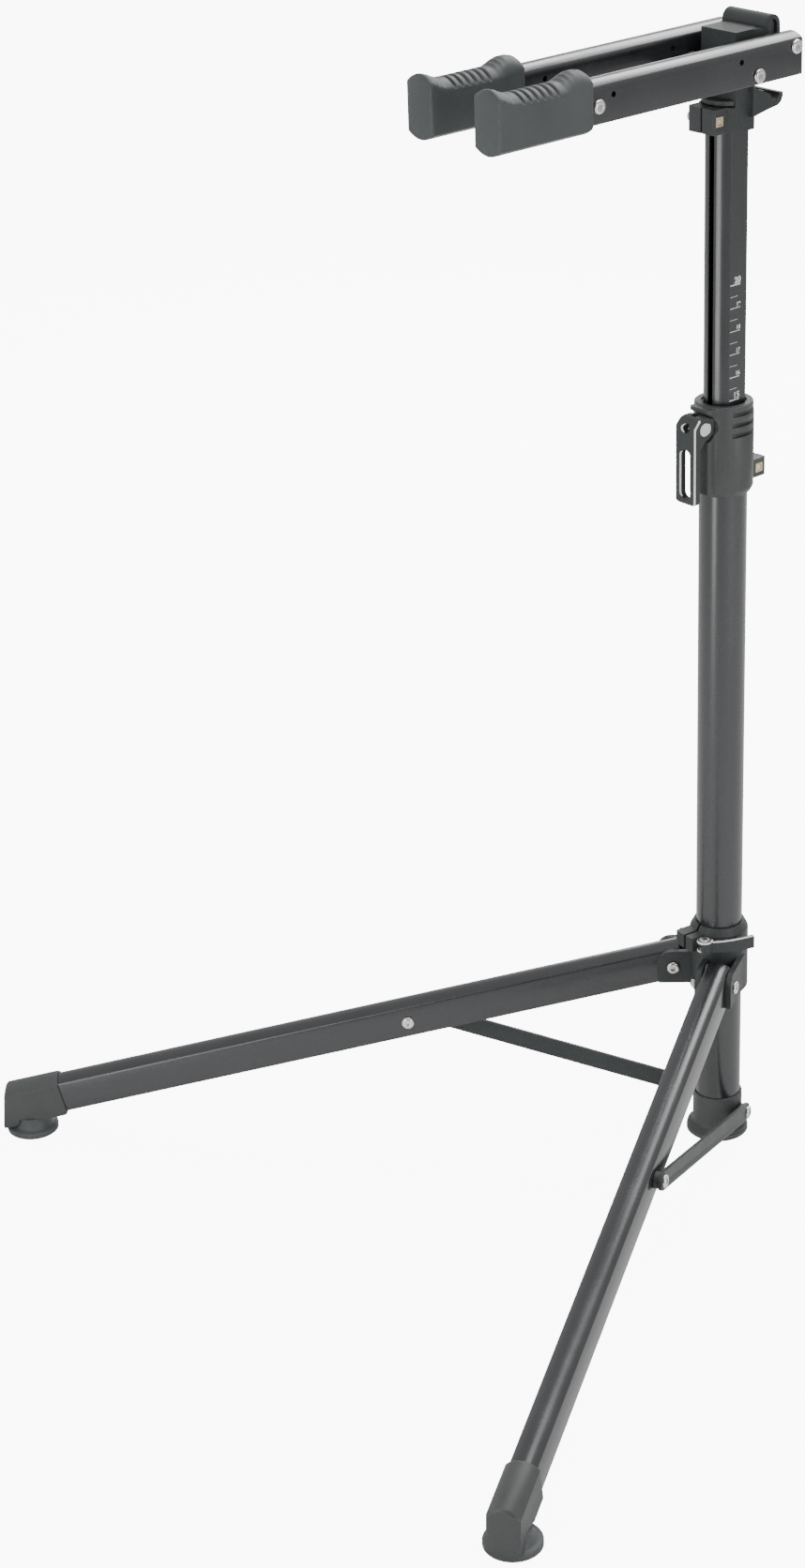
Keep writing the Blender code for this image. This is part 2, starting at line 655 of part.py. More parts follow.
def build_collar():
    profile = [(COLUMN_R + 1.6, COLLAR_BOTTOM), (COLUMN_R + 3.6, COLLAR_BOTTOM + 2.0),
               (COLLAR_R, COLLAR_BOTTOM + 7.0), (COLLAR_R, COLLAR_TOP - 11.0),
               (COLLAR_R - 0.6, COLLAR_TOP - 9.0), (COLLAR_R - 0.6, COLLAR_TOP - 1.0),
               (COLLAR_R - 1.6, COLLAR_TOP)]
    housing = part("collar_housing", "plastic_black", turned(profile))
    half = COLLAR_BOX_HALF_W
    front = rounded([(-half, -20.0, 0.0), (half, -20.0, 0.0), (half, COLLAR_BOX_FRONT, 3.0),
                     (-half, COLLAR_BOX_FRONT, 3.0)])
    add(housing, prism(front, "Z", COLLAR_BOTTOM + 5.0, COLLAR_TOP - 1.0))
    half = COLLAR_LUG_HALF_W
    rear = rounded([(-half, 25.0, 0.0), (half, 25.0, 0.0), (half, COLLAR_LUG_BACK, 2.0),
                    (-half, COLLAR_LUG_BACK, 2.0)])
    add(housing, prism(rear, "Z", COLLAR_LUG_LOW, COLLAR_LUG_HIGH))
    for z in GROOVE_LEVELS:
        for side in (1, -1):
            low, high = sorted((side * GROOVE_FLOOR, side * 40.0))
            cut(housing, box((low, -24.0, z - GROOVE_HALF_H), (high, 24.0, z + GROOVE_HALF_H)))
    cam = rod(CAM_R + 3.0, -20.0, 20.0, 24)
    cut(housing, cam, (0, LEVER_Y, LEVER_Z - 0.4), aim((1, 0, 0)))
    bore = [(COLUMN_R + GAP, 750.0), (COLUMN_R + GAP, COLLAR_LIP), (23.4, COLLAR_LIP), (23.4, 870.0)]
    cut(housing, turned(bore))
    cut(housing, box((-1.0, 15.0, 750.0), (1.0, 60.0, 795.0)))
    screw_axis = (0, COLLAR_CLAMP_Y, COLLAR_CLAMP_Z)
    cut(housing, rod(SCREW_HOLE_R, -30.0, 30.0), screw_axis, aim((1, 0, 0)))
    cut(housing, rod(SCREW_HOLE_R, -20.0, 20.0), (0, -30.0, LEVER_Z), aim((0, 1, 0)))
    bush = part("mast_bush", "plastic_black",
                turned([(COLUMN_R, COLUMN_TOP + GAP), (COLUMN_R, COLLAR_LIP - GAP)]))
    cut(bush, prism(mast_section(GAP), "Z", 800.0, 880.0))
    cut(bush, rod(SCREW_HOLE_R, -20.0, 20.0), (0, -30.0, LEVER_Z), aim((0, 1, 0)))
    floor = half - SQUARE_NUT_H - GAP
    nut_pocket(housing, floor, half, COLLAR_CLAMP_Y, COLLAR_CLAMP_Z)
    square_nut("collar_clamp_nut", None, floor + GAP, half, COLLAR_CLAMP_Y, COLLAR_CLAMP_Z)
    cap_screw("collar_clamp_screw", None, -half - GAP, half - 0.5, COLLAR_CLAMP_Y, COLLAR_CLAMP_Z)


def mast_section(growth):
    """Closed D outline of the mast's outside in plan, grown outwards."""
    radius = mast_crown_radius() + growth
    centre = MAST_SHOULDER + MAST_CROWN - mast_crown_radius()
    half = MAST_HALF_W + growth
    reach = asin(half / radius)
    points = [(-half, MAST_BACK + growth), (half, MAST_BACK + growth)]
    for i in range(13):
        angle = reach * (1 - i / 6)
        points.append((radius * sin(angle), -centre - radius * cos(angle)))
    return points


def mast_crown_radius():
    return (MAST_HALF_W ** 2 + MAST_CROWN ** 2) / (2 * MAST_CROWN)


def build_collar_lever():
    pivot = empty("collar_lever_pivot", (0, LEVER_Y, LEVER_Z))
    face = LEVER_FACE - LEVER_Y
    bottom = LEVER_BOTTOM - LEVER_Z
    outline = arc((0, 0), CAM_R, -84, 125, 14)
    outline += [(face, 3.0), (face, bottom + 2.0), (face + 1.5, bottom), (PLATE_BACK - 1.5, bottom),
                (PLATE_BACK, bottom + 2.0), (PLATE_BACK, -21.0)]
    lever = part("collar_lever", "cast_black", prism(outline, "X", -LEVER_HALF_W, LEVER_HALF_W), pivot)
    slot = arc((0.0, -28.0), WINDOW_R, 0, 180, 8) + arc((0.0, -67.0), WINDOW_R, 180, 360, 8)
    cut(lever, prism(slot, "Y", -40.0, 20.0))
    for side in (1, -1):
        for level, rise, radius in ((CAM_R, 1, 5.0), (bottom, -1, 4.5)):
            corner = (side * LEVER_HALF_W, level)
            centre = (corner[0] - side * radius, corner[1] - rise * radius)
            quarter = [(centre[0] + side * radius * sin(radians(15 * i)),
                        centre[1] + rise * radius * cos(radians(15 * i))) for i in range(7)]
            beyond = [(corner[0] + side, centre[1]), (corner[0] + side, corner[1] + rise),
                      (centre[0], corner[1] + rise)]
            cut(lever, prism(quarter + beyond, "Y", -40.0, 20.0))
    cut(lever, rod(LEVER_PIN_R + GAP, -20.0, 20.0, 24), rotation=aim((1, 0, 0)))
    clearance = SCREW_R + 0.7
    cut(lever, box((-clearance, -clearance, -clearance), (clearance, 30.0, 30.0)))
    cut(lever, rod(5.0, 3.0, 30.0), (0, 0, 1.5), aim((0, -1, 0)))
    pin = part("collar_lever_pin", "chrome",
               rod(LEVER_PIN_R, -LEVER_HALF_W - 0.6, LEVER_HALF_W + 0.6, 24), pivot,
               rotation=aim((1, 0, 0)))
    cut(pin, rod(SCREW_HOLE_R, -12.0, 12.0), rotation=aim((0, 1, 0)))
    inner = CAM_R + GAP + 0.2
    outline = arc((0, -0.4), inner + 2.0, -38, 38, 6) + arc((0, 0), inner, 38, -38, 6)
    shoe = part("cam_shoe", "chrome", prism(outline, "X", -12.0, 12.0), pivot)
    cut(shoe, rod(SCREW_HOLE_R, 5.0, 25.0), rotation=aim((0, 1, 0)))
    tip = -LEVER_PIN_R + 0.5
    head = -17.0 - LEVER_Y
    rings = [circle(SCREW_R, tip, SMALL_SEG), circle(SCREW_R, head, SMALL_SEG),
             circle(6.0, head, SMALL_SEG), circle(6.0, head + 3.0, SMALL_SEG)]
    part("collar_draw_screw", "chrome", loft(rings), pivot, rotation=aim((0, 1, 0)))


# ---------------------------------------------------------------- mast and head

def mast_wall_outline():
    """Open D section with its slot at the front, as one closed outline in plan."""
    radius = mast_crown_radius()
    centre = MAST_SHOULDER + MAST_CROWN - radius
    steps = 6
    outline = []
    for inset in (0.0, MAST_WALL):
        arm = radius - inset
        half = MAST_HALF_W - inset
        first = asin(MAST_SLOT / arm)
        last = asin(half / arm)
        path = []
        for i in range(steps + 1):
            angle = first + (last - first) * i / steps
            path.append((arm * sin(angle), -centre - arm * cos(angle)))
        path.append((half, MAST_BACK - inset))
        path += [(-x, y) for x, y in reversed(path)]
        outline += path if inset == 0.0 else reversed(path)
    return outline


def inner_mast_section():
    return mast_section(-MAST_WALL - GAP)


def build_mast(mast):
    part("mast_tube", "black_anodised",
         prism(mast_wall_outline(), "Z", MAST_BOTTOM - PIVOT_Z, MAST_TOP - PIVOT_Z), mast)
    drop = (0, 0, -PIVOT_Z)
    glide = part("mast_glide", "plastic_black",
                 rod(COLUMN_BORE_R - GAP, MAST_BOTTOM - 10.0, MAST_BOTTOM - GAP, SEG), mast, drop)
    add(glide, prism(inner_mast_section(), "Z", MAST_BOTTOM - 4.0, MAST_BOTTOM + 18.0), drop)
    cap = part("mast_cap", "plastic_black",
               prism(inner_mast_section(), "Z", MAST_TOP - 14.0, MAST_TOP + 0.3), mast, drop)
    front = HEAD_FRONT - GAP
    half = sqrt(24.8 ** 2 - front ** 2)
    reach = atan2(half, -front)
    rim = [(24.8 * sin(reach * (1 - i / 8)), -24.8 * cos(reach * (1 - i / 8))) for i in range(17)]
    add(cap, prism(rim, "Z", MAST_TOP + 0.1, MAST_TOP + 4.2), drop)


def build_head(mast):
    drop = (0, 0, -PIVOT_Z)
    spread = atan2(HEAD_HALF_W, sqrt(HEAD_R ** 2 - HEAD_HALF_W ** 2))
    channel = ROD_Y - HOOK_INNER_R
    angles = [spread * (1 - i / 8) for i in range(17)]
    back = [(HEAD_R * sin(angle), min(HEAD_R * cos(angle), channel - GAP)) for angle in angles]
    body = [(-HEAD_HALF_W, HEAD_FRONT), (HEAD_HALF_W, HEAD_FRONT)] + back
    head = part("head_casting", "cast_black",
                prism(body, "Z", HEAD_BOTTOM, HEAD_TOP), mast, drop)
    band = rounded([(-HEAD_HALF_W, 0.0, 0.0), (HEAD_HALF_W, 0.0, 0.0), (HEAD_HALF_W, -14.5, 0.0),
                    (HEAD_LUG_NEAR, -18.0, 0.0), (HEAD_LUG_NEAR, HEAD_LUG_FRONT, 3.0),
                    (HEAD_LUG_FAR, HEAD_LUG_FRONT, 4.0), (HEAD_LUG_FAR, -16.0, 0.0),
                    (-HEAD_HALF_W, -14.5, 0.0)])
    add(head, prism(band, "Z", HEAD_BOTTOM + 0.5, HEAD_BAND_TOP), drop)
    across = aim((1, 0, 0))
    add(head, rod(BARREL_R, -BARREL_HALF_W, BARREL_HALF_W, 24), (0, PIVOT_Y, 0), across)
    saddle = [(PIVOT_Y, -BARREL_R), (HEAD_FRONT + 4.0, -BARREL_R), (HEAD_FRONT + 4.0, BARREL_R),
              (PIVOT_Y, BARREL_R)]
    add(head, prism(saddle, "X", -HEAD_HALF_W + 1.0, HEAD_HALF_W - 1.0))
    hook = arc((ROD_Y, HOOK_Z), HOOK_R, 180, 0, 10)
    hook += [(ROD_Y + HOOK_R, HOOK_REAR_BOTTOM + 1.0), (ROD_Y + HOOK_R - 1.0, HOOK_REAR_BOTTOM),
             (ROD_Y + HOOK_INNER_R + 0.5, HOOK_REAR_BOTTOM)]
    hook += arc((ROD_Y, HOOK_Z), HOOK_INNER_R, 0, 180, 8)
    hook += [(ROD_Y - HOOK_INNER_R, 1208.0), (ROD_Y - HOOK_R, 1206.0)]
    add(head, prism(hook, "X", -HOOK_HALF_W, HOOK_HALF_W), drop)
    front = ROD_Y - HOOK_R + 0.5
    sweep = [(HEAD_HALF_W - 0.5, 1.0), (HEAD_HALF_W + 0.3, 9.0), (HEAD_HALF_W + 1.6, 15.0),
             (HOOK_HALF_W - 0.5, front)]
    web = sweep + [(-x, y) for x, y in reversed(sweep)]
    add(head, prism(web, "Z", 1206.0, HEAD_TOP - 0.5), drop)
    add(head, prism(web, "Z", 1153.0, 1174.0), drop)
    rest = [(7.0, 1180.0), (31.5, 1168.6)]
    rest += arc((37.6, 1168.6), 6.2, 180, 360, 8)
    rest += [(48.9, 1168.6), (48.9, 1164.6), (46.5, 1159.5), (42.5, 1156.6), (37.4, 1155.8),
             (26.0, 1154.2), (7.0, 1150.5)]
    add(head, prism(rest, "X", -HOOK_HALF_W, HOOK_HALF_W), drop)
    cut(head, prism(mast_section(GAP), "Z", HEAD_BOTTOM - 10.0, MAST_TOP + GAP), drop)
    cut(head, box((-1.0, -60.0, HEAD_BOTTOM - 10.0), (1.0, -8.0, HEAD_BAND_TOP + 1.0)), drop)
    cut(head, rod(BOLT_HOLE_R, -40.0, 40.0), (0, PIVOT_Y, 0), across)
    screw = (0, HEAD_CLAMP_Y, HEAD_CLAMP_Z - PIVOT_Z)
    cut(head, rod(SCREW_HOLE_R, -40.0, 40.0), screw, across)
    level = HEAD_CLAMP_Z - PIVOT_Z
    floor = HEAD_LUG_NEAR - SQUARE_NUT_H - GAP
    nut_pocket(head, floor, HEAD_LUG_NEAR, HEAD_CLAMP_Y, level)
    square_nut("head_clamp_nut", mast, floor + GAP, HEAD_LUG_NEAR, HEAD_CLAMP_Y, level)
    cap_screw("head_clamp_screw", mast, HEAD_LUG_FAR - GAP, HEAD_LUG_NEAR - 0.5, HEAD_CLAMP_Y, level)
    inner = HOOK_INNER_R - GAP
    bumper = [(ROD_Y + inner, ROD_Z + SLEEVE_R + 0.5)] + arc((ROD_Y, HOOK_Z), inner, 0, 180, 8)
    bumper += [(ROD_Y - inner, ROD_Z + SLEEVE_R + 0.5)]
    part("stop_bumper", "rubber", prism(bumper, "X", -26.0, 26.0), mast, drop)


# ---------------------------------------------------------------- arms

def grip_section(y, side_top, crown_top):
    """Padded section: arched bottom, flat sides and crowned top, about the arm's middle."""
    points = []
    for i in range(7):
        t = i / 6
        points.append((GRIP_HALF_W * (2 * t - 1), 1189.5 - 6.5 * sin(pi * t)))
    radius = (GRIP_HALF_W ** 2 + (crown_top - side_top) ** 2) / (2 * (crown_top - side_top))
    reach = asin(GRIP_HALF_W / radius)
    for i in range(9):
        angle = reach * (1 - i / 4)
        points.append((radius * sin(angle), crown_top - radius * (1 - cos(angle))))
    return [(x, y, z - ARM_Z) for x, z in points]


def build_grip(name, arm_frame, x):
    stations = ((GRIP_FRONT, 1235.5, 1242.8), (GRIP_FRONT + 2.0, 1236.2, 1244.2),
                (-349.0, 1234.5, 1243.4), (-342.0, 1231.6, 1240.6), (-335.0, 1229.4, 1237.8),
                (-272.0, 1228.4, 1237.8), (-264.0, 1229.0, 1241.8), (-257.0, 1230.6, 1243.8),
                (-247.0, 1232.6, 1243.6), (GRIP_REAR, 1233.0, 1241.0))
    rings = [grip_section(y - PIVOT_Y, side, crown) for y, side, crown in stations]
    grip = part(name, "rubber", loft(rings), arm_frame, (x, 0, ARM_Z - PIVOT_Z))
    hole = prism(bar_section(GAP), "Y", ARM_FRONT - GAP - PIVOT_Y, GRIP_REAR + 20.0 - PIVOT_Y)
    cut(grip, hole, (x, 0, ARM_Z - PIVOT_Z))


def build_arm(side, arm_frame):
    name = side_name(side)
    x = side * ARM_X
    arm = part(f"arm_{name}", "black_anodised",
               bar_tube("Y", ARM_FRONT - PIVOT_Y, ARM_REAR - PIVOT_Y), arm_frame,
               (x, 0, ARM_Z - PIVOT_Z))
    across = aim((1, 0, 0))
    holes = [(PIVOT_Y, PIVOT_Z, BOLT_HOLE_R), (ROD_Y, ROD_Z, BOLT_HOLE_R)]
    holes += [(y, ARM_HOLE_Z, ARM_HOLE_R) for y in ARM_HOLE_Y]
    for y, z, radius in holes:
        cut(arm, rod(radius, -20.0, 20.0), (x, y - PIVOT_Y, z - PIVOT_Z), across)
    outer_wall = sorted((0.0, side * 20.0))
    cut(arm, rod(BOLT_HOLE_R, *outer_wall), (x, GRIP_BOLT_Y - PIVOT_Y, GRIP_BOLT_Z - PIVOT_Z), across)
    build_grip(f"grip_{name}", arm_frame, x)
    y = GRIP_BOLT_Y - PIVOT_Y
    z = GRIP_BOLT_Z - PIVOT_Z
    outer = x + side * (BAR_HALF_W + GAP)
    button_screw(f"grip_bolt_{name}", arm_frame, (outer, y, z), (side, 0, 0), BOLT_INSERT)
    wall = BAR_HALF_W - BAR_WALL - GAP
    low, high = sorted((x + side * wall, x + side * (wall - INSERT_LENGTH)))
    nut = part(f"grip_nut_{name}", "chrome", prism([ring[:2] for ring in hexagon(INSERT_R, 0.0, 6)], "X", low, high),
               arm_frame, (0, y, z))
    cut(nut, rod(BOLT_HOLE_R, low - 2.0, high + 2.0), (0, y, z), across)


def build_arms(arm_frame):
    for side in (1, -1):
        build_arm(side, arm_frame)
    outside = ARM_X + BAR_HALF_W + GAP
    for name, y, z in (("pivot", PIVOT_Y, PIVOT_Z), ("rear", ROD_Y, ROD_Z)):
        place = (y - PIVOT_Y, z - PIVOT_Z)
        button_screw(f"{name}_bolt", arm_frame, (outside, *place), (1, 0, 0), outside + 36.0)
        button_screw(f"{name}_nut", arm_frame, (-outside, *place), (-1, 0, 0), outside - 36.3)
    half = ARM_X - BAR_HALF_W - GAP
    part("rear_sleeve", "chrome", tube(SLEEVE_R, BOLT_HOLE_R, -half, half, 24), arm_frame,
         (0, ROD_Y - PIVOT_Y, ROD_Z - PIVOT_Z), aim((1, 0, 0)))


# ---------------------------------------------------------------- assembly

def build_stand():
    clear_scene()
    leg_frame = empty("leg_frame", (0, 0, 0), (0, 0, LEG_TURN))
    build_column(leg_frame)
    hub_casting_frame = empty("hub_frame", (0, 0, 0), parent=leg_frame)
    build_hub(hub_casting_frame)
    hub = empty("hub_hinges", (0, 0, HINGE_Z), parent=hub_casting_frame)
    build_hub_lever(hub)
    for side in (1, -1):
        build_leg(side, hub)
        build_strut(side, leg_frame)
    build_collar()
    build_collar_lever()
    mast = empty("mast_head", (0, 0, PIVOT_Z))
    build_mast(mast)
    build_head(mast)
    build_arms(empty("arm_pivot", (0, PIVOT_Y, 0), parent=mast))


build_stand()
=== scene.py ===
"""Looks of the folding bicycle repair stand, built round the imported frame.

Each piece replaces a CAD node or rides beside one.  Places come from the frame's boxes and
joints where those give them, and otherwise from lengths written here.  Lengths are in metres.
"""
import json
from math import asin, cos, pi, radians, sin, sqrt

import bmesh
import bpy
from mathutils import Matrix, Vector


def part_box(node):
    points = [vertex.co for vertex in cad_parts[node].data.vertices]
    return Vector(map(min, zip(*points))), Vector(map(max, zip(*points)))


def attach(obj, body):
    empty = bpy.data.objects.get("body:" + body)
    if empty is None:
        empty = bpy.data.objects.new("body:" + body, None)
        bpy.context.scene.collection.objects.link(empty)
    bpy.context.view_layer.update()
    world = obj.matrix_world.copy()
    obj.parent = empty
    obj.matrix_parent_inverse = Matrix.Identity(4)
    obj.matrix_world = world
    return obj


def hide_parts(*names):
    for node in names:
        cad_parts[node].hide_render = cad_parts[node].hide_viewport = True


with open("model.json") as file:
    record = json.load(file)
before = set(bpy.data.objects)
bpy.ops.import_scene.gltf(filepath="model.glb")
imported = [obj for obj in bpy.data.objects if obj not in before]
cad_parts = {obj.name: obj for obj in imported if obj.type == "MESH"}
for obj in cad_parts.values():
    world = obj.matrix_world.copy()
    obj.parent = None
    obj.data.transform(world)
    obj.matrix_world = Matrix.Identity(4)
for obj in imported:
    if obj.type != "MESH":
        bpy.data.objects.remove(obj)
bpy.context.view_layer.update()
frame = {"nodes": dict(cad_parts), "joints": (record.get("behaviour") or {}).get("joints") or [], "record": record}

NODES = frame["nodes"]
JOINTS = {joint["name"]: joint for joint in frame["joints"]}
BODIES = frame["record"]["behaviour"]["bodies"]
BODY_OF = {node: body for body, nodes in BODIES.items() for node in nodes}
SLOT_OF = {entry["node"]: entry["material_slot"] for entry in frame["record"]["subparts"]}
MM = 0.001

WELD_DISTANCE = 0.005 * MM
FLAT_ANGLE = radians(0.6)
BUTTON_RADIUS = 7.1 * MM
BUTTON_HEIGHT = 3.2 * MM
BAR_HALF_HEIGHT = 17.4 * MM
ARM_HOLES_Y = (-42.0 * MM, -211.0 * MM)
ARM_HOLE_Z = 1217.0 * MM
ARM_HOLE_RADIUS = 2.8 * MM
LEG_SLOPE = radians(13.3)
LEG_PAST_HINGE = 11.0 * MM
LEG_LENGTH = 745.6 * MM
FLOOR_GLOW = 9.0
ROOM_GLOW = 9.6

# Rounding of each node's edges, in millimetres
EDGE_ROUNDING = (
    ("base_cap", 0.5), ("hub_casting", 0.8), ("collar_housing", 0.9), ("head_casting", 1.3),
    ("head_clamp_nut", 0.5), ("collar_clamp_nut", 0.5), ("mast_tube", 0.25), ("mast_cap", 0.5),
    ("foot_cap_right", 1.0), ("foot_cap_left", 1.0), ("strut_bar_right", 0.6),
    ("strut_bar_left", 0.6), ("strut_spacer_right", 0.4), ("strut_spacer_left", 0.4),
    ("collar_lever_pin", 0.4), ("hub_lever_pin", 0.3), ("hub_skewer_nut", 0.4),
    ("hub_skewer", 0.3), ("mast_bush", 0.3), ("hub_liner", 0.3), ("stop_bumper", 0.5),
    ("rear_sleeve", 0.3), ("collar_clamp_screw", 0.3), ("head_clamp_screw", 0.3),
    ("mast_glide", 0.5), ("cam_shoe", 0.3), ("collar_draw_screw", 0.3),
    ("leg_plug_right", 0.3), ("leg_plug_left", 0.3), ("hinge_nut_right", 0.5),
    ("hinge_nut_left", 0.5), ("grip_nut_right", 0.3), ("grip_nut_left", 0.3))


# ---------------------------------------------------------------- materials

def new_material(name):
    material = bpy.data.materials.new(name)
    material.use_nodes = True
    tree = material.node_tree
    return material, tree, tree.nodes["Principled BSDF"]


def node(tree, kind, inputs=None, **settings):
    made = tree.nodes.new(kind)
    for key, value in settings.items():
        setattr(made, key, value)
    for key, value in (inputs or {}).items():
        made.inputs[key].default_value = value
    return made


def noise(tree, scale, detail=3.0, stretch=(1.0, 1.0, 1.0)):
    """Noise over object space, stretched along the axes."""
    coordinates = node(tree, "ShaderNodeTexCoord")
    mapping = node(tree, "ShaderNodeMapping", {"Scale": stretch})
    texture = node(tree, "ShaderNodeTexNoise", {"Scale": scale, "Detail": detail, "Roughness": 0.55})
    tree.links.new(coordinates.outputs["Object"], mapping.inputs["Vector"])
    tree.links.new(mapping.outputs["Vector"], texture.inputs["Vector"])
    return texture.outputs["Fac"]


def ramp(tree, source, low, high):
    """Source remapped to a colour or a grey between low and high."""
    made = node(tree, "ShaderNodeValToRGB")
    tree.links.new(source, made.inputs["Fac"])
    for element, value, place in zip(made.color_ramp.elements, (low, high), (0.3, 0.7)):
        element.color = (*value, 1.0) if isinstance(value, tuple) else (value, value, value, 1.0)
        element.position = place
    return made.outputs["Color"]


def bump(tree, shader, source, strength, distance):
    made = node(tree, "ShaderNodeBump", {"Strength": strength, "Distance": distance})
    tree.links.new(source, made.inputs["Height"])
    tree.links.new(made.outputs["Normal"], shader.inputs["Normal"])


def surface(name, dark, light, rough, grain, bump_size, metallic=0.0, specular=0.5,
            stretch=(1.0, 1.0, 1.0), bump_strength=0.35):
    """Finish with cloudy colour, uneven gloss and a fine grain in its bump."""
    material, tree, shader = new_material(name)
    shader.inputs["Metallic"].default_value = metallic
    shader.inputs["Specular IOR Level"].default_value = specular
    cloudy = noise(tree, 14.0, 4.0)
    fine = noise(tree, grain, 2.0, stretch)
    tree.links.new(ramp(tree, cloudy, dark, light), shader.inputs["Base Color"])
    mixed = node(tree, "ShaderNodeMath", operation="ADD")
    mixed.use_clamp = True
    tree.links.new(cloudy, mixed.inputs[0])
    scaled = node(tree, "ShaderNodeMath", {1: 0.6}, operation="MULTIPLY")
    centred = node(tree, "ShaderNodeMath", {1: 0.5}, operation="SUBTRACT")
    tree.links.new(fine, centred.inputs[0])
    tree.links.new(centred.outputs["Value"], scaled.inputs[0])
    tree.links.new(scaled.outputs["Value"], mixed.inputs[1])
    tree.links.new(ramp(tree, mixed.outputs["Value"], rough[0], rough[1]), shader.inputs["Roughness"])
    bump(tree, shader, fine, bump_strength, bump_size)
    return material


def make_materials():
    """One finish for each slot of the record, and a near-white non-metal one that is a painted highlight standing
    for polished metal edges.
    """
    return {
        "black_anodised_tube": surface(
            "anodised tube", (0.012, 0.0135, 0.015), (0.016, 0.018, 0.020), (0.20, 0.28), 2600.0,
            0.00002, specular=0.95, stretch=(1.0, 1.0, 0.25), bump_strength=0.05),
        "cast_black": surface(
            "powder-coated casting", (0.040, 0.045, 0.045), (0.052, 0.057, 0.057), (0.42, 0.52),
            1500.0, 0.00008, specular=0.25, bump_strength=0.16),
        "moulded_black": surface(
            "moulded nylon", (0.040, 0.044, 0.044), (0.052, 0.057, 0.057), (0.42, 0.54), 2100.0,
            0.00006, bump_strength=0.16),
        "grip_rubber": surface(
            "moulded grip rubber", (0.046, 0.053, 0.055), (0.060, 0.066, 0.068), (0.42, 0.55),
            1800.0, 0.00006, bump_strength=0.16),
        "foot_rubber": surface(
            "foot rubber", (0.052, 0.058, 0.062), (0.068, 0.075, 0.078), (0.42, 0.55), 1300.0,
            0.00008, bump_strength=0.2),
        "bright_steel": surface(
            "bright plated steel", (0.72, 0.71, 0.69), (0.88, 0.87, 0.85), (0.10, 0.20), 900.0,
            0.00002, metallic=1.0),
        "brass_nut": surface(
            "brass", (0.70, 0.52, 0.26), (0.92, 0.76, 0.46), (0.20, 0.34), 900.0, 0.00003,
            metallic=1.0),
        # Near-white non-metal finish: a painted highlight for polished metal cut edges, white whatever it faces.
        "painted_edge_highlight": surface(
            "painted edge highlight", (0.84, 0.84, 0.83), (0.95, 0.95, 0.94), (0.28, 0.40), 900.0, 0.00002,
            specular=0.8),
    }


MATERIALS = make_materials()


# ---------------------------------------------------------------- pieces

def finish_mesh(obj, angle=32):
    obj.data.shade_smooth()
    obj.data.set_sharp_from_angle(angle=radians(angle))


def make_piece(name, bm, replaced, bevel=0.0, slot=None, body=None):
    """Object from a bmesh in the row frame, standing for the CAD nodes it replaces."""
    bmesh.ops.recalc_face_normals(bm, faces=bm.faces)
    mesh = bpy.data.meshes.new(name)
    bm.to_mesh(mesh)
    bm.free()
    obj = bpy.data.objects.new(name, mesh)
    bpy.context.scene.collection.objects.link(obj)
    finish_mesh(obj)
    slot = slot or SLOT_OF[replaced[0]]
    obj.data.materials.append(MATERIALS[slot])
    if bevel:
        add_bevel(obj, bevel)
    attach(obj, body or BODY_OF[replaced[0]])
    if replaced:
        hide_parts(*replaced)
    return obj


def add_bevel(obj, width, angle=30):
    bevel = obj.modifiers.new("rounded edges", "BEVEL")
    bevel.width = width
    bevel.segments = 2
    bevel.limit_method = "ANGLE"
    bevel.angle_limit = radians(angle)
    bevel.use_clamp_overlap = True
    bevel.harden_normals = True
    bevel.miter_outer = "MITER_ARC"


def whole_faces(node_name):
    """The node's own shape, with each flat face made whole again."""
    bm = bmesh.new()
    bm.from_mesh(NODES[node_name].data)
    bmesh.ops.remove_doubles(bm, verts=bm.verts, dist=WELD_DISTANCE)
    bmesh.ops.dissolve_limit(bm, angle_limit=FLAT_ANGLE, verts=bm.verts, edges=bm.edges)
    return bm


def refine(node_name, bevel):
    """The node's own shape with its edges rounded."""
    bm = whole_faces(node_name)
    return make_piece(f"{node_name}_fine", bm, [node_name], bevel)


def painted_highlight_lever(node_name, bevel, width, is_face, is_side):
    """Lever cut back to a strip, its own piece, wherever a face meets a side; the strip is a near-white painted
    highlight standing for a polished metal edge.

    The cut isn't clamped, because the hub lever's strip doesn't show when it is.  Round the hole
    in the hub lever, both the lever and its strip touch the pin.
    """
    bm = whole_faces(node_name)
    bm.normal_update()
    edges = []
    for edge in bm.edges:
        if len(edge.link_faces) == 2:
            one, two = edge.link_faces
            if (is_face(one) and is_side(two)) or (is_face(two) and is_side(one)):
                edges.append(edge)
    cut = bmesh.ops.bevel(bm, geom=edges, offset=width, offset_type="OFFSET", segments=1,
                          profile=0.5, affect="EDGES", clamp_overlap=False)
    bright = set(cut["faces"])
    bm.faces.index_update()
    strip = bm.copy()
    keep = {face.index for face in bm.faces if face in bright}
    strip.faces.ensure_lookup_table()
    waste = [face for face in strip.faces if face.index not in keep]
    bmesh.ops.delete(strip, geom=waste, context="FACES")
    strip.normal_update()
    proud = 0.04 * MM
    for vert in strip.verts:
        vert.co += vert.normal * proud
    bmesh.ops.solidify(strip, geom=strip.faces[:], thickness=0.2 * MM)
    lever = make_piece(f"{node_name}_fine", bm, [node_name])
    add_bevel(lever, bevel, 50)
    highlight_strip = make_piece(f"{node_name}_edge", strip, [], slot="bright_steel",
                            body=BODY_OF[node_name])
    # The strip gets the near-white painted highlight finish, not the bright_steel of its slot.
    highlight_strip.data.materials[0] = MATERIALS["painted_edge_highlight"]


def painted_highlight_levers():
    # Each lever's edges where a face meets a side get a painted highlight strip.
    painted_highlight_lever("hub_lever", 0.4 * MM, 1.1 * MM, lambda face: face.normal.z > 0.7,
                   lambda face: abs(face.normal.z) < 0.4)
    painted_highlight_lever("collar_lever", 0.6 * MM, 1.3 * MM, lambda face: face.normal.y < -0.7,
                   lambda face: face.normal.x > 0.7)


def ring_points(radius, segments):
    return [(radius * cos(2 * pi * i / segments), radius * sin(2 * pi * i / segments))
            for i in range(segments)]


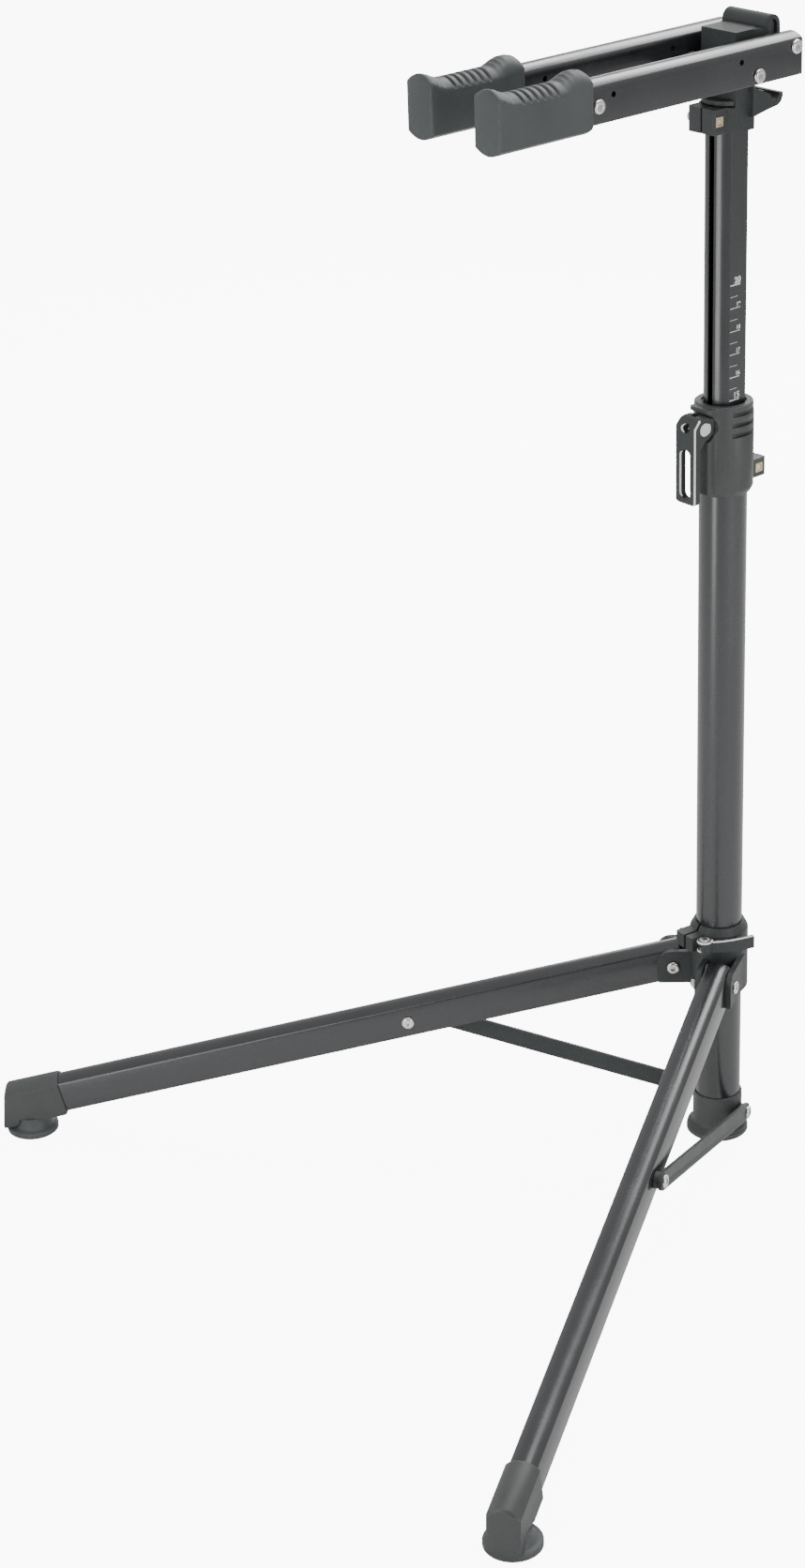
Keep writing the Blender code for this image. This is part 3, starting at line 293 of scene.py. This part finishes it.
def loft(rings, closed=False):
    """Skin over the rings: joined end to start if closed, or else capped at both ends."""
    bm = bmesh.new()
    loops = [[bm.verts.new(point) for point in ring] for ring in rings]
    pairs = list(zip(loops, loops[1:]))
    if closed:
        pairs.append((loops[-1], loops[0]))
    else:
        bm.faces.new(loops[0])
        bm.faces.new(loops[-1])
    for low, high in pairs:
        for i in range(len(low)):
            j = (i + 1) % len(low)
            bm.faces.new((low[i], low[j], high[j], high[i]))
    return bm


def turned(profile, segments=96, closed=False):
    """Shape turned about Z from its (radius, height) profile."""
    rings = [[(x, y, z) for x, y in ring_points(radius, segments)] for radius, z in profile]
    return loft(rings, closed)


def moved(bm, place, direction=(0, 0, 1)):
    """The shape with its +Z turned to the direction and its origin at the place."""
    turn = Vector((0, 0, 1)).rotation_difference(Vector(direction)).to_matrix().to_4x4()
    bmesh.ops.transform(bm, matrix=Matrix.Translation(place) @ turn, verts=bm.verts)
    return bm


def centre_of(node_name):
    low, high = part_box(node_name)
    return (Vector(low) + Vector(high)) / 2


def axis_point(node_name, direction):
    """Point on a turned node's axis at its top, seen along the direction, and its length."""
    points = [vertex.co for vertex in NODES[node_name].data.vertices]
    middle = sum(points, Vector()) / len(points)
    top = max(point.dot(direction) for point in points)
    return middle + direction * (top - middle.dot(direction)), top - min(
        point.dot(direction) for point in points)


def button_profile(length):
    """Button-head screw in section, from the end of its shank to the top of its dome."""
    shank = 4.0 * MM
    chamfer = 0.4 * MM
    rim = 0.7 * MM
    dome_centre = 4.3 * MM
    points = [(shank - chamfer, -length), (shank, -length + chamfer), (shank, 0.0),
              (BUTTON_RADIUS, 0.0), (BUTTON_RADIUS, rim)]
    for i in range(1, 9):
        angle = radians(78) * i / 8
        points.append((dome_centre + (BUTTON_RADIUS - dome_centre) * cos(angle),
                       rim + (BUTTON_HEIGHT - rim) * sin(angle)))
    return points


def hexagon(radius, z, segments):
    """Ring of points along the sides of a hexagon whose corners are at the radius."""
    ring = []
    for i in range(segments):
        angle = 2 * pi * i / segments
        reach = radius * cos(pi / 6) / cos(angle % (pi / 3) - pi / 6)
        ring.append((reach * cos(angle), reach * sin(angle), z))
    return ring


def button_screw(node_name, direction):
    """Screw, or sleeve nut of the same look, whose domed head faces the direction."""
    direction = Vector(direction).normalized()
    top, extent = axis_point(node_name, direction)
    profile = button_profile(extent - BUTTON_HEIGHT)
    segments = 48
    rings = [[(x, y, z) for x, y in ring_points(radius, segments)] for radius, z in profile]
    rim = BUTTON_HEIGHT - 0.15 * MM
    socket_mouth = 3.3 * MM
    socket_floor = 0.9 * MM
    rings.append([(x, y, rim) for x, y in ring_points(socket_mouth, segments)])
    rings.append(hexagon(2.9 * MM, rim - 0.25 * MM, segments))
    rings.append(hexagon(2.8 * MM, socket_floor, segments))
    bm = moved(loft(rings), top - direction * BUTTON_HEIGHT, direction)
    return make_piece(f"{node_name}_fine", bm, [node_name])


def hinge_axis(joint_name):
    return Vector(JOINTS[joint_name]["axis"])


# ---------------------------------------------------------------- round pieces

def fine_column():
    low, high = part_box("column_tube")
    radius = 25.0 * MM
    bore = 22.8 * MM
    edge = 0.4 * MM
    profile = [(radius - edge, low[2]), (radius, low[2] + edge), (radius, high[2] - edge),
               (radius - edge, high[2]), (bore + edge, high[2]), (bore, high[2] - edge),
               (bore, low[2] + edge), (bore + edge, low[2])]
    make_piece("column_tube_fine", turned(profile, closed=True), ["column_tube"])


def fine_base_foot():
    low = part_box("base_foot")[0]
    radius = 34.2 * MM
    chamfer = 0.8 * MM
    rounding = 1.6 * MM
    profile = [(radius - chamfer, low[2]), (radius, low[2] + chamfer), (radius, 3.4 * MM)]
    profile += [(radius - rounding + rounding * cos(a), 4.4 * MM + rounding * sin(a))
                for a in (radians(18 * i) for i in range(6))]
    make_piece("base_foot_fine", turned(profile), ["base_foot"])


def fine_pad(side):
    node_name = f"foot_pad_{side}"
    low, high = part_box(node_name)
    middle = Vector(((low[0] + high[0]) / 2, (low[1] + high[1]) / 2, 0.0))
    outer = 28.9 * MM
    rim = 5.2 * MM
    rounding = 1.8 * MM
    neck_top = 20.2 * MM
    stem = 5.0 * MM
    profile = [(outer - 1.0 * MM, 0.0), (outer, 0.8 * MM), (outer, rim)]
    profile += [(outer - rounding + rounding * cos(a), rim + rounding * sin(a))
                for a in (radians(22.5 * i) for i in range(1, 5))]
    for i in range(9):
        t = i / 8
        profile.append(((25.2 - 6.2 * sin(t * pi / 2)) * MM, (7.6 + 12.4 * (1 - cos(t * pi / 2))) * MM))
    profile += [(18.2 * MM, neck_top), (stem, neck_top), (stem, high[2])]
    make_piece(f"{node_name}_fine", moved(turned(profile), middle), [node_name])


# ---------------------------------------------------------------- grips

def grip_heights(y, front, rear):
    """Height of the side's top edge and of the crown above it, along a grip.

    Each station is a distance from the grip's front end and those two heights, in millimetres.
    """
    stations = ((0.0, 1235.6, 1242.6), (1.2, 1236.4, 1244.0), (4.0, 1236.6, 1244.4), (8.0, 1234.4, 1243.2),
                (14.0, 1231.4, 1240.4), (21.0, 1229.3, 1237.9), (30.0, 1229.0, 1237.6),
                (84.0, 1228.3, 1237.6), (90.0, 1228.6, 1240.0), (95.0, 1229.2, 1242.4),
                (101.0, 1230.6, 1244.0), (108.0, 1232.2, 1244.0), (113.0, 1232.9, 1243.0),
                (116.0, 1233.0, 1241.4), (117.0, 1232.0, 1239.8))
    s = (y - front) / (rear - front) * stations[-1][0]
    for (s0, a0, b0), (s1, a1, b1) in zip(stations, stations[1:]):
        if s <= s1:
            t = max(0.0, min(1.0, (s - s0) / (s1 - s0)))
            t = t * t * (3 - 2 * t) if s1 - s0 > 1.5 else t
            return (a0 + (a1 - a0) * t) * MM, (b0 + (b1 - b0) * t) * MM
    return stations[-1][1] * MM, stations[-1][2] * MM


def rib_drop(y, front):
    """Depth of the grooves between the crown's ribs."""
    first = front + 31.0 * MM
    pitch = 8.6 * MM
    grooves = 6
    half_width = 2.0 * MM
    depth = 3.0 * MM
    place = (y - first) / pitch
    if place < -0.5 or place > grooves - 0.5:
        return 0.0
    from_middle = abs(place - round(place)) * pitch
    return depth * max(0.0, 1.0 - (from_middle / half_width) ** 2)


def grip_ring(centre_x, y, side_top, crown, drop, half, bottom, arch):
    """Section of a grip in its X-Z plane: arched underside, straight sides, crowned top."""
    points = []
    steps = 12
    for i in range(steps + 1):
        t = i / steps
        points.append((half * (2 * t - 1), bottom + arch - arch * sin(pi * t) ** 0.85))
    side_heights = (side_top - 7.0 * MM, side_top - 3.2 * MM)
    points += [(half, z) for z in side_heights]
    rise = crown - side_top
    radius = (half ** 2 + rise ** 2) / (2 * rise)
    reach = asin(min(1.0, half / radius))
    steps = 20
    for i in range(steps + 1):
        f = 1 - 2 * i / steps
        angle = reach * f
        fade = 1.0 - 0.6 * abs(f) ** 8
        points.append((radius * sin(angle), crown - radius * (1 - cos(angle)) - drop * fade))
    points += [(-half, z) for z in reversed(side_heights)]
    return [(centre_x + x, y, z) for x, z in points]


def fine_grip(side):
    node_name = f"grip_{side}"
    low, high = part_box(node_name)
    centre_x = (low[0] + high[0]) / 2
    half = (high[0] - low[0]) / 2
    bottom = low[2]
    front, rear = low[1], high[1]
    arch = 6.3 * MM
    length = rear - front
    stations = [front, front + 0.5 * MM, front + 1.4 * MM, front + 3.0 * MM]
    count = int(length / (0.9 * MM))
    stations += [front + 4.0 * MM + (length - 6.0 * MM) * i / count for i in range(count + 1)]
    stations += [rear - 0.9 * MM, rear - 0.3 * MM, rear]
    rings = []
    round_length = 2.0 * MM
    rise_length = 5.0 * MM
    for y in stations:
        side_top, crown = grip_heights(y, front, rear)
        near_end = min(y - front, rear - y)
        inset = 0.0
        if near_end < round_length:
            inset = 1.6 * MM * (1 - sqrt(max(0.0, 1 - (1 - near_end / round_length) ** 2)))
        rear_rise = max(0.0, y - (rear - rise_length)) / rise_length
        lift = inset + 4.5 * MM * rear_rise ** 2
        ring = grip_ring(centre_x, y, side_top - inset, crown - inset, rib_drop(y, front),
                         half - inset, bottom + lift, arch)
        rings.append(ring)
    obj = make_piece(f"{node_name}_fine", loft(rings), [node_name])
    obj.data.set_sharp_from_angle(angle=radians(50))


# ---------------------------------------------------------------- bars

def bar_outline(growth):
    """Extruded bar's section: rounded lower corners and a small shoulder under the crown."""
    half = 14.0 * MM + growth
    low = -BAR_HALF_HEIGHT - growth
    top = BAR_HALF_HEIGHT
    crown = 5.6 * MM + growth
    corner = 0.9 * MM
    crown_steps = 24
    points = []
    for centre_x, start in ((-half + corner, 180), (half - corner, 270)):
        for i in range(5):
            angle = radians(start + 90 * i / 4)
            points.append((centre_x + corner * cos(angle), low + corner + corner * sin(angle)))
    radius = (half ** 2 + crown ** 2) / (2 * crown)
    reach = asin(half / radius)
    shoulder = 0.7 * MM
    shoulder_reach = reach * (1.0 - shoulder / half)
    points.append((half, top - shoulder))
    for i in range(crown_steps + 1):
        angle = shoulder_reach * (1 - 2 * i / crown_steps)
        points.append((radius * sin(angle), top + crown - radius * (1 - cos(angle))))
    points.append((-half, top - shoulder))
    return points


def bar_rings(start, along, across, up, length):
    """Rings of a hollow bar: outside from end to end, then back along the inside."""
    rings = []
    edge = 0.25 * MM
    wall = 1.8 * MM
    for growth, at in ((-edge, 0.0), (0.0, edge), (0.0, length - edge), (-edge, length),
                       (edge - wall, length), (-wall, length - edge), (-wall, edge),
                       (edge - wall, 0.0)):
        ring = []
        for a, b in bar_outline(growth):
            point = start + along * at + across * a + up * b
            ring.append(tuple(point))
        rings.append(ring)
    return rings


def drill(obj, place, direction, radius, depth):
    """Hole through the piece, bored by a rod that is then removed."""
    profile = [(radius, -depth), (radius, depth)]
    bm = moved(turned(profile, 32), place, direction)
    bmesh.ops.recalc_face_normals(bm, faces=bm.faces)
    mesh = bpy.data.meshes.new(f"{obj.name}_drill")
    bm.to_mesh(mesh)
    bm.free()
    tool = bpy.data.objects.new(mesh.name, mesh)
    bpy.context.scene.collection.objects.link(tool)
    modifier = obj.modifiers.new("hole", "BOOLEAN")
    modifier.operation = "DIFFERENCE"
    modifier.solver = "EXACT"
    modifier.object = tool
    bpy.context.view_layer.objects.active = obj
    with bpy.context.temp_override(object=obj, active_object=obj):
        bpy.ops.object.modifier_apply(modifier=modifier.name)
    bpy.data.objects.remove(tool, do_unlink=True)


def fine_arm(side):
    node_name = f"arm_{side}"
    low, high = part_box(node_name)
    centre = centre_of(node_name)
    middle = low[2] + BAR_HALF_HEIGHT
    start = Vector((centre.x, low[1], middle))
    along, across, up = Vector((0, 1, 0)), Vector((1, 0, 0)), Vector((0, 0, 1))
    rings = bar_rings(start, along, across, up, high[1] - low[1])
    obj = make_piece(f"{node_name}_fine", loft(rings, closed=True), [node_name])
    for y in ARM_HOLES_Y:
        drill(obj, Vector((centre.x, y, ARM_HOLE_Z)), across, ARM_HOLE_RADIUS, 20 * MM)
    finish_mesh(obj, 30)


def fine_leg(side):
    node_name = f"leg_tube_{side}"
    joint = JOINTS[f"leg_fold_{side}"]
    hinge = Vector(joint["pos_m"])
    across = Vector(joint["axis"])
    along = across.cross(Vector((0, 0, 1))).normalized()
    pad = centre_of(f"foot_pad_{side}")
    if along.dot(pad - hinge) < 0:
        along = -along
    down = along * cos(LEG_SLOPE) - Vector((0, 0, 1)) * sin(LEG_SLOPE)
    up = along * sin(LEG_SLOPE) + Vector((0, 0, 1)) * cos(LEG_SLOPE)
    start = hinge - down * LEG_PAST_HINGE
    rings = bar_rings(start, down, across, up, LEG_LENGTH)
    make_piece(f"{node_name}_fine", loft(rings, closed=True), [node_name])


# ---------------------------------------------------------------- scale on the mast

def mast_scale():
    """White height scale on the mast's +X flat: long and half ticks with generic numbers."""
    flat_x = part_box("mast_tube")[1][0] + 0.02 * MM
    front = -10.6 * MM
    first = 862.3 * MM
    pitch = 24.0 * MM
    paint = surface("white print", (0.72, 0.72, 0.72), (0.84, 0.84, 0.84), (0.45, 0.6), 1500.0, 0.00002)
    bm = bmesh.new()
    for i in range(11):
        z = first + pitch * i / 2
        major = i % 2 == 0
        bold = i in (0, 10)
        length = (14.0 if major else 10.5) * MM
        thick = (1.3 if bold else 0.8 if major else 0.45) * MM
        corners = [(front, z - thick / 2), (front + length, z - thick / 2),
                   (front + length, z + thick / 2), (front, z + thick / 2)]
        loop = [bm.verts.new((flat_x, y, h)) for y, h in corners]
        face = bm.faces.new(loop)
        result = bmesh.ops.extrude_face_region(bm, geom=[face])
        shifted = [item for item in result["geom"] if isinstance(item, bmesh.types.BMVert)]
        bmesh.ops.translate(bm, vec=(0.05 * MM, 0, 0), verts=shifted)
    for i in range(6):
        bold = i in (0, 5)
        text = bpy.data.curves.new(f"number_{i}", "FONT")
        text.body = str(15 + i)
        text.size = (9.0 if bold else 6.2) * MM
        text.offset = (0.32 if bold else 0.16) * MM
        text.extrude = 0.025 * MM
        text.align_x = "RIGHT"
        holder = bpy.data.objects.new(text.name, text)
        bpy.context.scene.collection.objects.link(holder)
        bpy.context.view_layer.update()
        evaluated = holder.evaluated_get(bpy.context.evaluated_depsgraph_get())
        mesh = bpy.data.meshes.new_from_object(evaluated)
        turn = Matrix(((0, 0, 1, flat_x + 0.03 * MM), (1, 0, 0, front + 14.6 * MM),
                       (0, 1, 0, first + pitch * i + 1.6 * MM), (0, 0, 0, 1)))
        mesh.transform(turn)
        bm.from_mesh(mesh)
        bpy.data.objects.remove(holder, do_unlink=True)
    mesh = bpy.data.meshes.new("mast_scale")
    bmesh.ops.recalc_face_normals(bm, faces=bm.faces)
    bm.to_mesh(mesh)
    bm.free()
    obj = bpy.data.objects.new("mast_scale", mesh)
    bpy.context.scene.collection.objects.link(obj)
    mesh.materials.append(paint)
    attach(obj, "mast")


# ---------------------------------------------------------------- the object

def build_object():
    fine_column()
    fine_base_foot()
    for side in ("right", "left"):
        fine_pad(side)
        fine_grip(side)
        fine_arm(side)
        fine_leg(side)
    outward = {"right": hinge_axis("leg_fold_right"), "left": -hinge_axis("leg_fold_left")}
    for side, direction in outward.items():
        button_screw(f"hinge_bolt_{side}", hinge_axis(f"leg_fold_{side}"))
        button_screw(f"strut_bolt_{side}", -direction)
        button_screw(f"strut_nut_{side}", direction)
        button_screw(f"strut_base_bolt_{side}", direction)
        arm_side = Vector((1 if side == "right" else -1, 0, 0))
        button_screw(f"grip_bolt_{side}", arm_side)
    for name in ("pivot", "rear"):
        button_screw(f"{name}_bolt", (1, 0, 0))
        button_screw(f"{name}_nut", (-1, 0, 0))
    for node_name, bevel in EDGE_ROUNDING:
        refine(node_name, bevel * MM)
    painted_highlight_levers()
    mast_scale()


# ---------------------------------------------------------------- floor, light and camera

def backdrop_glow(tree, bright):
    """Strength that is bright where the camera looks straight at it, and zero as light."""
    seen = node(tree, "ShaderNodeLightPath")
    glow = node(tree, "ShaderNodeMapRange", {"To Min": 0.0, "To Max": bright})
    tree.links.new(seen.outputs["Is Camera Ray"], glow.inputs["Value"])
    return glow.outputs["Result"]


def room_glow(tree, bright):
    """White for the camera alone, added to a room that is darker on the photo camera's side."""
    glow = backdrop_glow(tree, bright)
    where = node(tree, "ShaderNodeTexCoord")
    toward = node(tree, "ShaderNodeVectorMath", {1: (0.69, -0.72, 0.0)}, operation="DOT_PRODUCT")
    tree.links.new(where.outputs["Generated"], toward.inputs[0])
    side = node(tree, "ShaderNodeMapRange", {"From Min": 0.3, "From Max": 0.9, "To Min": 0.72,
                                             "To Max": 0.12})
    tree.links.new(toward.outputs["Value"], side.inputs["Value"])
    total = node(tree, "ShaderNodeMath", operation="ADD")
    tree.links.new(glow, total.inputs[0])
    tree.links.new(side.outputs["Result"], total.inputs[1])
    return total.outputs["Value"]


def add_lamp(name, place, size, power, target=(0.0, 0.0, 0.8)):
    light = bpy.data.lights.new(name, "AREA")
    light.shape = "RECTANGLE"
    light.size, light.size_y = size
    light.energy = power
    lamp = bpy.data.objects.new(name, light)
    lamp.location = place
    aim = Vector(target) - Vector(place)
    lamp.rotation_euler = aim.to_track_quat("-Z", "Y").to_euler()
    lamp.visible_camera = False
    bpy.context.scene.collection.objects.link(lamp)


def stage_scene():
    scene = bpy.context.scene
    bpy.ops.mesh.primitive_plane_add(size=60.0, location=(0, 0, -0.0003))
    floor = bpy.context.active_object
    floor.name = "studio_floor"
    material, tree, shader = new_material("studio floor")
    tree.links.new(ramp(tree, noise(tree, 1.5), (0.80, 0.80, 0.80), (0.84, 0.84, 0.84)),
                   shader.inputs["Base Color"])
    shader.inputs["Roughness"].default_value = 0.9
    shader.inputs["Specular IOR Level"].default_value = 0.1
    shader.inputs["Emission Color"].default_value = (1.0, 1.0, 1.0, 1.0)
    tree.links.new(backdrop_glow(tree, FLOOR_GLOW), shader.inputs["Emission Strength"])
    floor.data.materials.append(material)

    world = bpy.data.worlds.new("studio")
    scene.world = world
    world.use_nodes = True
    background = world.node_tree.nodes["Background"]
    background.inputs["Color"].default_value = (1.0, 1.0, 1.0, 1.0)
    world.node_tree.links.new(room_glow(world.node_tree, ROOM_GLOW), background.inputs["Strength"])

    add_lamp("overhead", (0.3, 0.2, 3.6), (1.6, 1.6), 38.0)
    add_lamp("behind", (-0.8, 2.1, 3.1), (2.2, 0.9), 62.0, (0.0, -0.1, 1.1))
    add_lamp("far_rim", (-2.0, 2.5, 1.1), (2.4, 1.0), 26.0, (0.0, -0.1, 0.5))
    add_lamp("strip_left", (0.15, -1.8, 0.8), (0.55, 2.1), 15.0)
    add_lamp("fill_left", (-2.4, -1.4, 1.5), (1.2, 1.6), 9.0)
    add_lamp("fill_right", (3.0, -0.2, 1.3), (1.4, 1.8), 34.0)


def place_camera():
    """Camera about 3.5 m from the stand, on its +X and -Y side, looking 25 degrees down."""
    place = Vector((2.2409, -2.3126, 1.9341))
    azimuth = 2.44634
    pitch = -0.4368
    roll = -0.0356
    forward = Vector((cos(azimuth) * cos(pitch), sin(azimuth) * cos(pitch), sin(pitch)))
    level = forward.cross(Vector((0, 0, 1))).normalized()
    upright = level.cross(forward)
    right = level * cos(roll) + upright * sin(roll)
    up = upright * cos(roll) - level * sin(roll)
    data = bpy.data.cameras.new("camera")
    data.lens = 75.78
    data.sensor_width = 36.0
    camera = bpy.data.objects.new("camera", data)
    matrix = Matrix((right, up, -forward)).transposed().to_4x4()
    matrix.translation = place
    camera.matrix_world = matrix
    bpy.context.scene.collection.objects.link(camera)
    bpy.context.scene.camera = camera


place_camera()
build_object()
stage_scene()
